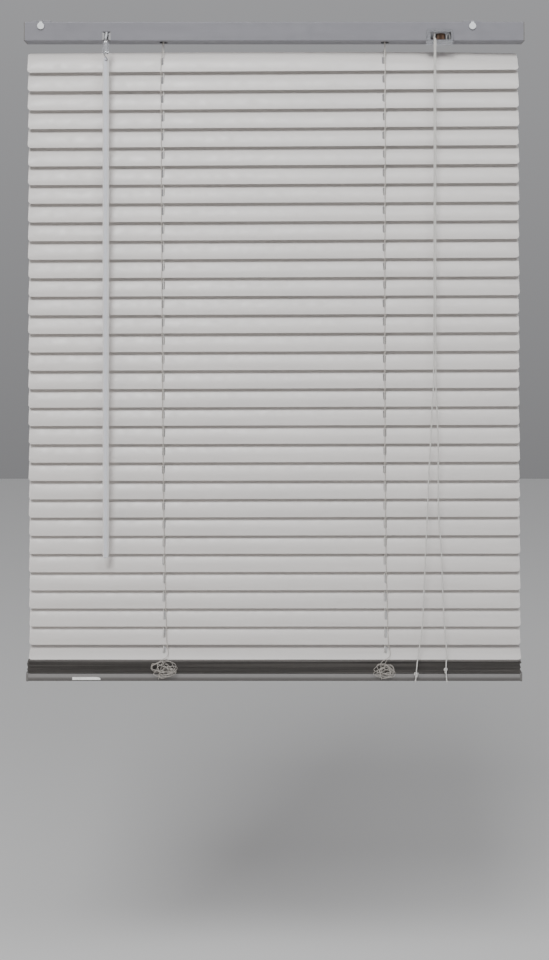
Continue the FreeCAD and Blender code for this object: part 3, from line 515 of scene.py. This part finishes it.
add_bunch("left", seed=5, turns=11)
add_bunch("right", seed=12, turns=11)


# ---------------------------------------------------------------- slats
def arc_points(centre, radius, start, sweep_angle, count):
    return [(centre[0] + radius * math.cos(start + sweep_angle * step / count),
             centre[1] + radius * math.sin(start + sweep_angle * step / count)) for step in range(count + 1)]


def slat_outline(columns):
    """Plan of a slat, anticlockwise, with rounded corners and points along its long edges."""
    half_width = SLAT_WIDTH / 2
    x, y = SLAT_LENGTH / 2 - SLAT_CORNER, half_width - SLAT_CORNER

    def corner(centre, quarters):
        return arc_points(centre, SLAT_CORNER, quarters * math.pi / 2, math.pi / 2, 5)

    front = [(column, -half_width) for column in columns]
    rear = [(column, half_width) for column in reversed(columns)]
    return front + corner((x, -y), -1) + corner((x, y), 0) + rear + corner((-x, y), 1) + corner((-x, -y), 2)


def slot_outline(x):
    radius, reach, steps = SLOT_WIDTH / 2, (SLOT_LENGTH - SLOT_WIDTH) / 2, 7
    return (arc_points((x, reach), radius, 0, math.pi, steps)
            + arc_points((x, -reach), radius, math.pi, math.pi, steps))


def slat_plan():
    """Flat triangles of a slat with its two slots, as (x, y) points and index triples."""
    column_step, row_count, slot_margin, beside_slot, end_margin = 13 * MM, 12, 0.9 * MM, 4.5 * MM, 1 * MM
    inner = SLAT_LENGTH / 2 - SLAT_CORNER - end_margin
    column_count = round(2 * inner / column_step)
    columns = [-inner + 2 * inner * index / column_count for index in range(column_count + 1)]
    rows = [-SLAT_WIDTH / 2 + SLAT_WIDTH * index / row_count for index in range(1, row_count)]
    slots = [-LADDER_OFFSET, LADDER_OFFSET]
    loops = [slat_outline(columns)] + [slot_outline(x) for x in slots]

    def in_slot(x, y, margin):
        past_round = max(abs(y) - (SLOT_LENGTH - SLOT_WIDTH) / 2, 0)
        return any(math.hypot(x - slot, past_round) < SLOT_WIDTH / 2 + margin for slot in slots)

    near_slots = [slot + shift for slot in slots for shift in (-beside_slot, beside_slot)]
    points = [(x, y) for x in columns + near_slots for y in rows if not in_slot(x, y, slot_margin)]
    edges = []
    for loop in loops:
        start = len(points)
        points += loop
        edges += [(start + index, start + (index + 1) % len(loop)) for index in range(len(loop))]
    found, _, triangles, *_ = delaunay_2d_cdt([Vector(point) for point in points], edges, [], 0, 1e-6)
    kept = []
    for triangle in triangles:
        x = sum(found[index].x for index in triangle) / 3
        y = sum(found[index].y for index in triangle) / 3
        past_x = max(abs(x) - (SLAT_LENGTH / 2 - SLAT_CORNER), 0)
        past_y = max(abs(y) - (SLAT_WIDTH / 2 - SLAT_CORNER), 0)
        if math.hypot(past_x, past_y) < SLAT_CORNER and not in_slot(x, y, 0):
            kept.append(tuple(triangle))
    return [tuple(point) for point in found], kept


def rim_edges(triangles):
    """Edges that only one triangle has, in that triangle's direction."""
    used = {edge: True for low, middle, high in triangles
            for edge in ((low, middle), (middle, high), (high, low))}
    return [edge for edge in used if (edge[1], edge[0]) not in used]


PLAN_POINTS, PLAN_TRIANGLES = slat_plan()
PLAN_RIM = rim_edges(PLAN_TRIANGLES)
ARCH_RADIUS = SLAT_WIDTH ** 2 / (8 * SLAT_CROWN) + SLAT_CROWN / 2


def crown_height(y):
    """Height of a slat's top face above its hinge axis."""
    return SLAT_CROWN / 3 - ARCH_RADIUS + math.sqrt(ARCH_RADIUS ** 2 - y * y)


def slat_part(seed, twist=0):
    """A crowned slat about its hinge axis, with the slight waves and kinks of thin metal. A twisted
    one opens towards its right end, where its front edge stays as high as it was."""
    bend_height, kink_height = 0.16 * MM, 0.035 * MM
    count = len(PLAN_POINTS)
    vertices = []
    for level in (0, -SLAT_WALL):
        for x, y in PLAN_POINTS:
            bend = noise.noise(Vector((x * 7, y * 20, seed * 3.7))) * bend_height
            kink = noise.noise(Vector((x * 26, y * 45, seed * 9.1))) * kink_height
            point = Vector((x, y, crown_height(y) + level + bend + kink))
            if twist:
                front = Vector((x, -SLAT_WIDTH / 2, -SLAT_CROWN * 2 / 3))
                turned = -twist * (x / SLAT_LENGTH + 0.5) ** 4
                point = front + Matrix.Rotation(turned, 3, "X") @ (point - front)
            vertices.append(point)
    faces = list(PLAN_TRIANGLES)
    faces += [(high + count, middle + count, low + count) for low, middle, high in PLAN_TRIANGLES]
    faces += [(second, first, first + count, second + count) for first, second in PLAN_RIM]
    return vertices, faces


# a front string's sideways place: at the top, its even drift to the bottom, and the swerve it ends with
STRING_WANDER = {"left": (-3.0, 3.4, 4.7), "right": (0.5, -1.6, 5.9)}


def share_down(number):
    """0 at the top slat and 1 at the last hanging one."""
    return (number - 1) / (HANGING_SLATS - 1)


def string_shift(side, number):
    """How far the front string has wandered sideways from the plumb line at a slat."""
    top, drift, swerve = STRING_WANDER[side]
    share = share_down(number)
    return (top + drift * share + swerve * share ** 5) * MM


def rung_line(x, front_shift, sign):
    """Cross string under a slat, from its front ladder string to its rear one."""
    half = [(RUNG_REACH, -RUNG_DROP, 0), (13.4 * MM, -1.75 * MM, 1.2 * MM), (11 * MM, -1.75 * MM, 1.6 * MM),
            (5 * MM, -1.2 * MM, 1.6 * MM)]
    bends = [(-y, z, wide) for y, z, wide in half] + half[::-1]
    return smooth_line([Vector((x + front_shift * (RUNG_REACH - y) / (2 * RUNG_REACH) + sign * wide, y, z))
                        for y, z, wide in bends], per_span=4)


def rung_part(number):
    return joined(*(sweep(rung_line(x - BLIND_X, string_shift(side, number), sign), RUNG_RADIUS, 6)
                    for side, x in LADDER_X.items() for sign in (-1, 1)))


def slat_pivot(number):
    return Vector(JOINTS[f"slat_{number:02d}_tilt"]["pos_m"])


def hanging_place(number):
    """Where a slat hangs, with the small unevenness of the ladders, and how far it has slid sideways."""
    # slopes and angles in degrees, drifts in mm
    top_slope, top_drift, drift_change = 0.36, -1.3, 2.2
    slope_scatter, drift_scatter, angle_scatter = 0.03, 0.5, 0.7
    angle = RESTING_ANGLE if number == HANGING_SLATS else CLOSED_ANGLE
    share = share_down(number)
    draw = random.Random(100 + number)
    slope = math.radians(top_slope * (1 - share) + draw.uniform(-slope_scatter, slope_scatter))
    drift = (top_drift + drift_change * share + draw.uniform(-drift_scatter, drift_scatter)) * MM
    angle += math.radians(draw.uniform(-angle_scatter, angle_scatter))
    return (Matrix.Translation(slat_pivot(number) + Vector((drift, 0, 0))) @ Matrix.Rotation(-slope, 4, "Y")
            @ Matrix.Rotation(angle, 4, "X"), drift)


def add_hanging_slat(number):
    name = f"slat_{number:02d}"
    place, drift = hanging_place(number)
    twist = TOP_SLAT_TWIST if number == 1 else 0
    slat = add_mesh(f"{name}_enamelled", *moved(slat_part(number, twist), place), MATERIALS["slat_paint"])
    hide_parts(name)
    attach(slat, name)
    rungs = moved(rung_part(number), place @ Matrix.Translation(Vector((-drift, 0, 0))))
    rung_piece = add_mesh(f"rungs_{number:02d}", *rungs, MATERIALS["ladder_string"])
    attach(rung_piece, name)


def add_stack():
    """Flat slats lying nested on the bottom rail, each a little out of line."""
    # in mm, mm and degrees
    end_scatter, side_scatter, turn_scatter = 1.0, 0.2, 0.06
    _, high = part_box("stacked_slats")
    parts = []
    for index in range(STACKED_SLATS):
        draw = random.Random(300 + index)
        x = BLIND_X + draw.uniform(-end_scatter, end_scatter) * MM
        y = draw.uniform(-side_scatter, side_scatter) * MM
        turn = math.radians(draw.uniform(-turn_scatter, turn_scatter))
        place = Matrix.Translation((x, y, high.z - SLAT_CROWN / 3 - index * STACK_STEP))
        parts.append(moved(slat_part(200 + index), place @ Matrix.Rotation(turn, 4, "Z")))
    # the stack's dark enamel is painted shade
    stack = add_mesh("stacked_slats_enamelled", *joined(*parts), STACK_PAINTED_SHADE)
    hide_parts("stacked_slats")
    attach(stack, "bottom_rail")


for slat_number in range(1, HANGING_SLATS + 1):
    add_hanging_slat(slat_number)
add_stack()


# ---------------------------------------------------------------- ladders
def attachment(number, reach_sign):
    """Where a slat's rungs meet the front (-1) or rear (1) strings at rest, without the drift."""
    local = Vector((0, reach_sign * RUNG_REACH, -RUNG_DROP))
    return slat_pivot(number) + Matrix.Rotation(CLOSED_ANGLE, 3, "X") @ local


STRING_TOP = 3 * MM
# from the last knot of the front (-1) and rear (1) strings down to the bottom rail, in mm
STRING_TAILS = {-1: [(1.2, -1.8, -3), (2.2, -4.5, -7.5), (0.0, -7.5, -11.5), (-7.8, -9.4, -14.5),
                     (-11, -9.8, -20), (-7, -9.6, -28), (-9, -9.6, -36)],
                1: [(0.5, 2.4, -5), (0.8, 7.4, -11), (0.4, 9.8, -17), (0.2, 9.9, -26)]}


def ladder_string(side, reach_sign):
    """One ladder string with a knot at every slat and its slack end down to the bottom rail."""
    straight, last_straight = Vector((0, 0, 5 * MM)), Vector((0, 0, 4 * MM))
    scatter, knot_radius, knot_half_height = 0.2, 0.62 * MM, 0.85 * MM
    draw = random.Random(f"{side}{reach_sign}")
    knots, controls = [], []
    last = HANGING_SLATS - 1
    for number in range(1, last + 1):
        point = attachment(number, reach_sign)
        shift = string_shift(side, number) if reach_sign < 0 else 0
        point.x = LADDER_X[side] + shift + draw.uniform(-scatter, scatter) * MM
        knots.append(bead(point, knot_radius, knot_half_height))
        controls += [point + straight, point - straight] if number < last else [point + last_straight]
    controls[0].z = attachment(1, reach_sign).z + STRING_TOP
    controls += [point + Vector(step) * MM for step in STRING_TAILS[reach_sign]]
    return joined(sweep(smooth_line(controls, per_span=4), STRING_RADIUS, 8), *knots)


def add_ladder(name, reach_sign, drum_start):
    """The strings on one side of the slats, and their slanted ends up to the drums."""
    strings = joined(*(ladder_string(side, reach_sign) for side in LADDER_X))
    piece = add_mesh(f"{name}_strings", *strings, MATERIALS["ladder_string"])
    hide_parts(name)
    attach(piece, name)
    top = attachment(1, reach_sign) + Vector((0, 0, STRING_TOP))
    steps = 10
    ends = []
    for side, x in LADDER_X.items():
        shift = string_shift(side, 1) if reach_sign < 0 else 0
        start, finish = Vector((x, *drum_start)), Vector((x + shift, top.y, top.z))
        line = [start.lerp(finish, step / steps) for step in range(steps + 1)]
        ends.append(sweep(line, STRING_RADIUS, 8))
    ends_piece = add_mesh(f"{name}_ends", *joined(*ends), MATERIALS["ladder_string"])
    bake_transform(ends_piece)


add_ladder("ladder_front", -1, (-3.4 * MM, ROD.z - 3.6 * MM))
add_ladder("ladder_rear", 1, (4.8 * MM, ROD.z + 0.6 * MM))


# ---------------------------------------------------------------- tilt wand
def add_wand_link():
    """Clear six-sided sleeve with rounded ends, and the bent wire that hangs the wand."""
    low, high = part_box("wand_sleeve")
    x, y = (low.x + high.x) / 2, (low.y + high.y) / 2
    radius = (high.x - low.x) / 2
    foot, shoulder = low.z - 1.0 * MM, high.z - 1.2 * MM
    profile = [(radius * 0.72, foot), (radius * 0.93, foot + 0.5 * MM), (radius, foot + 1.4 * MM),
               (radius, shoulder - 2.2 * MM), (radius * 0.9, shoulder - 0.8 * MM), (radius * 0.55, shoulder),
               (radius * 0.36, high.z)]
    sleeve = add_mesh("wand_sleeve_clear", *moved(turned_shape(profile, 6), Matrix.Translation((x, y, 0))),
                      MATERIALS["clear_plastic"], 25)
    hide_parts("wand_sleeve")
    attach(sleeve, "wand_link")
    hook_low, hook_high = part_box("wand_hook")
    wire_radius, wire_drop = 0.5 * MM, 2.6 * MM
    middle = Vector((x, y, (hook_low.z + hook_high.z) / 2 - wire_drop))
    bends = [(1.8, -3.4, 3.0), (2.2, -3.6, 4.4), (0.2, -3.9, 5.0), (-1.8, -4.0, 3.8), (-1.2, -4.1, 1.6),
             (0.8, -4.1, -0.6), (2.2, -4.1, -2.6), (2.0, -3.8, -4.4), (0.4, -3.4, -4.6), (-0.6, -3.2, -3.4)]
    line = smooth_line([middle + bend for bend in point_list(bends)], per_span=8)
    hook = add_mesh("wand_hook_wire", *sweep(line, wire_radius, 10), MATERIALS["hook_wire"])
    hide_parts("wand_hook")
    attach(hook, "wand_hook")


def add_tilter_cheeks():
    """Pale sides of the tilter, seen in its opening in the headrail."""
    apart, behind_face, above_foot, half = 3.3 * MM, 0.9 * MM, 5.4 * MM, Vector((0.95, 0.5, 4.0)) * MM
    low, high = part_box("wand_sleeve")
    middle = (low.x + high.x) / 2
    cheeks = []
    for sign in (-1, 1):
        centre = Vector((middle + sign * apart, HEADRAIL_LOW.y + behind_face, HEADRAIL_LOW.z + above_foot))
        corners = [centre + Vector((sx * half.x, sy * half.y, sz * half.z))
                   for sz in (-1, 1) for sx, sy in ((-1, -1), (1, -1), (1, 1), (-1, 1))]
        cheeks.append((corners, ring_faces(2, 4)))
    piece = add_mesh("tilter_cheeks", *joined(*cheeks), TILTER_PLASTIC)
    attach(piece, "headrail")


def add_wand():
    """Six-sided clear wand with softened edges, a neck under the hook and a blunt tip."""
    low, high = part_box("wand")
    x, y = (low.x + high.x) / 2, (low.y + high.y) / 2
    radius = (high.x - low.x) / 2
    levels = [(0.55, low.z), (0.9, low.z + 1.0 * MM), (0.96, low.z + 3 * MM), (1.0, high.z - 6 * MM),
              (0.92, high.z - 3 * MM), (0.55, high.z - 1.2 * MM), (0.5, high.z)]
    corners, softening = 6, ((-6, 0.957), (0, 0.975), (6, 0.957))
    vertices = []
    for share, z in levels:
        for corner in range(corners):
            for shift, pull in softening:
                angle = math.radians(360 / corners * corner + shift)
                vertices.append(Vector((x + radius * share * pull * math.cos(angle),
                                        y + radius * share * pull * math.sin(angle), z)))
    faces = ring_faces(len(levels), corners * len(softening))
    wand = add_mesh("wand_clear", vertices, faces, MATERIALS["wand_acrylic"], 12)
    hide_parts("wand")
    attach(wand, "wand")


add_wand_link()
add_tilter_cheeks()
add_wand()


# ---------------------------------------------------------------- cord lock
def add_lock_roller():
    """Knurled brass roller on its upright pin."""
    low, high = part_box("lock_roller")
    centre = (low + high) / 2
    radius = (high.x - low.x) / 2
    ridges, steps, ridge_depth = 28, 4, 0.035
    pin_reach, rim, rim_share = 0.6 * MM, 0.5 * MM, 0.9
    pin_radius, pin_end_radius, pin_round = 1.4 * MM, 1.2 * MM, 0.3 * MM
    drum_low, drum_high = low.z + pin_reach, high.z - pin_reach
    levels = [(rim_share, drum_low), (1.0, drum_low + rim), (1.0, drum_high - rim), (rim_share, drum_high)]
    vertices = []
    count = ridges * steps
    for share, z in levels:
        for index in range(count):
            angle = 2 * math.pi * index / count
            depth = 1 - ridge_depth * (1 + math.cos(2 * math.pi * index / steps))
            vertices.append(Vector((centre.x + radius * share * depth * math.cos(angle),
                                    centre.y + radius * share * depth * math.sin(angle), z)))
    drum = vertices, ring_faces(len(levels), count)
    pin = turned_shape([(pin_end_radius, low.z), (pin_radius, low.z + pin_round),
                        (pin_radius, high.z - pin_round), (pin_end_radius, high.z)], 20)
    pin = moved(pin, Matrix.Translation((centre.x, centre.y, 0)))
    roller = add_mesh("lock_roller_knurled", *joined(drum, pin), MATERIALS["roller_brass"], 25)
    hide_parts("lock_roller")
    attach(roller, "lock_roller")


def add_lock_guides():
    """Pale upright post and rounded rib inside the lock's window."""
    post_gap, post_radius, post_half_height = 2.3 * MM, 0.75 * MM, 4.4 * MM
    rib_gap, rib_radius, behind_face = 2.2 * MM, 0.4 * MM, 2.4 * MM
    low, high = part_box("lock_roller")
    back, window_middle = HEADRAIL_LOW.y + behind_face, (low.z + high.z) / 2
    post = sweep([Vector((low.x - post_gap, back, window_middle + step * post_half_height))
                  for step in (-1, 0, 1)], post_radius, 12)
    rib_bends = point_list([(-1.2, 0, -4.2), (-1.4, 0, 0.5), (0.2, 0, 2.9), (2.2, 0, 2.2), (2.6, 0, -1.0),
                            (2.6, 0, -4.2)])
    rib_place = Vector((high.x + rib_gap, back, window_middle))
    rib = sweep(smooth_line([rib_place + bend for bend in rib_bends]), rib_radius, 8)
    guides = add_mesh("lock_guides", *joined(post, rib), MATERIALS["plug_plastic"])
    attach(guides, "headrail")


add_lock_roller()
add_lock_guides()


# ---------------------------------------------------------------- blank film label on the bottom rail
def add_label():
    """Blank film stuck to the front of the bottom rail, with one corner torn away."""
    film, tree, shader = new_material("label_film", Roughness=0.35)
    tones = [(NOISE_LOW, (0.84, 0.84, 0.82, 1)), (NOISE_HIGH, (0.95, 0.95, 0.93, 1))]
    tree.links.new(add_ramp(tree, add_noise(tree, 220), tones), shader.inputs["Base Color"])
    from_middle, length, above_foot, height = 233.7 * MM, 32.4 * MM, 1.7 * MM, 3.2 * MM
    gap, thick = 0.05 * MM, 0.12 * MM
    left, bottom = BLIND_X - from_middle, RAIL_LOW.z + above_foot
    right, top = left + length, bottom + height
    outline = [(left, bottom), (right, bottom), (right, top - 1.6 * MM), (right - 1.2 * MM, top - 0.6 * MM),
               (right - 4 * MM, top), (left, top)]
    front = RAIL_LOW.y - gap
    vertices = [Vector((x, y, z)) for y in (front, front - thick) for x, z in outline]
    label = add_mesh("blank_label", vertices, ring_faces(2, len(outline)), film)
    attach(label, "bottom_rail")


add_label()


# ---------------------------------------------------------------- studio
def add_floor():
    half_size, below_blind = 6, 0.45
    material, _, _ = new_material("floor", Base_Color=(0.82, 0.82, 0.81, 1), Roughness=0.8)
    corners = [Vector((half_size * x, half_size * y, RAIL_LOW.z - below_blind))
               for x, y in ((-1, -1), (1, -1), (1, 1), (-1, 1))]
    floor = add_mesh("floor", corners, [(0, 1, 2, 3)], material)


def add_area_light(name, place, target, size, power, colour):
    data = bpy.data.lights.new(name, "AREA")
    data.shape = "RECTANGLE"
    data.size, data.size_y = size
    data.energy = power
    data.color = colour
    light = bpy.data.objects.new(name, data)
    light.location = place
    light.rotation_euler = (Vector(target) - Vector(place)).to_track_quat("-Z", "Y").to_euler()
    bpy.context.scene.collection.objects.link(light)


def add_world():
    """Plain surroundings: soft grey behind the blind, dimmer on the room side, darker below."""
    world = bpy.data.worlds.new("studio")
    bpy.context.scene.world = world
    world.use_nodes = True
    tree = world.node_tree
    shares = []
    for axis in ("Y", "Z"):
        share = tree.nodes.new("ShaderNodeMapRange")
        share.inputs["From Min"].default_value = -1
        tree.links.new(add_coordinate(tree, "Generated", axis), share.inputs["Value"])
        shares.append(share.outputs["Result"])
    depth_tone = add_ramp(tree, shares[0], [(0.3, (0.12, 0.12, 0.125, 1)), (0.8, (0.36, 0.36, 0.37, 1))])
    height_tone = add_ramp(tree, shares[1], [(0.3, (0.3, 0.3, 0.3, 1)), (0.5, (0.75, 0.75, 0.75, 1)),
                                             (0.85, (1.6, 1.6, 1.6, 1))])
    tones = tree.nodes.new("ShaderNodeVectorMath")
    tones.operation = "MULTIPLY"
    tree.links.new(depth_tone, tones.inputs[0])
    tree.links.new(height_tone, tones.inputs[1])
    tree.links.new(tones.outputs["Vector"], tree.nodes["Background"].inputs["Color"])


add_floor()
DAYLIGHT, WARM = (0.98, 0.99, 1.0), (1.0, 0.82, 0.68)
BLIND_MIDDLE, BLIND_TOP = (BLIND_X, 0, -0.38), (BLIND_X, 0, -0.1)
add_area_light("key", (-1.1, -5.6, 4.3), BLIND_MIDDLE, size=(2.2, 2.6), power=270, colour=DAYLIGHT)
add_area_light("near_top", (0.15, -1.5, 0.95), BLIND_TOP, size=(1.8, 0.5), power=24, colour=DAYLIGHT)
add_area_light("warm_fill", (-1.7, -1.5, -0.7), BLIND_MIDDLE, size=(1.0, 1.0), power=5, colour=WARM)
add_world()
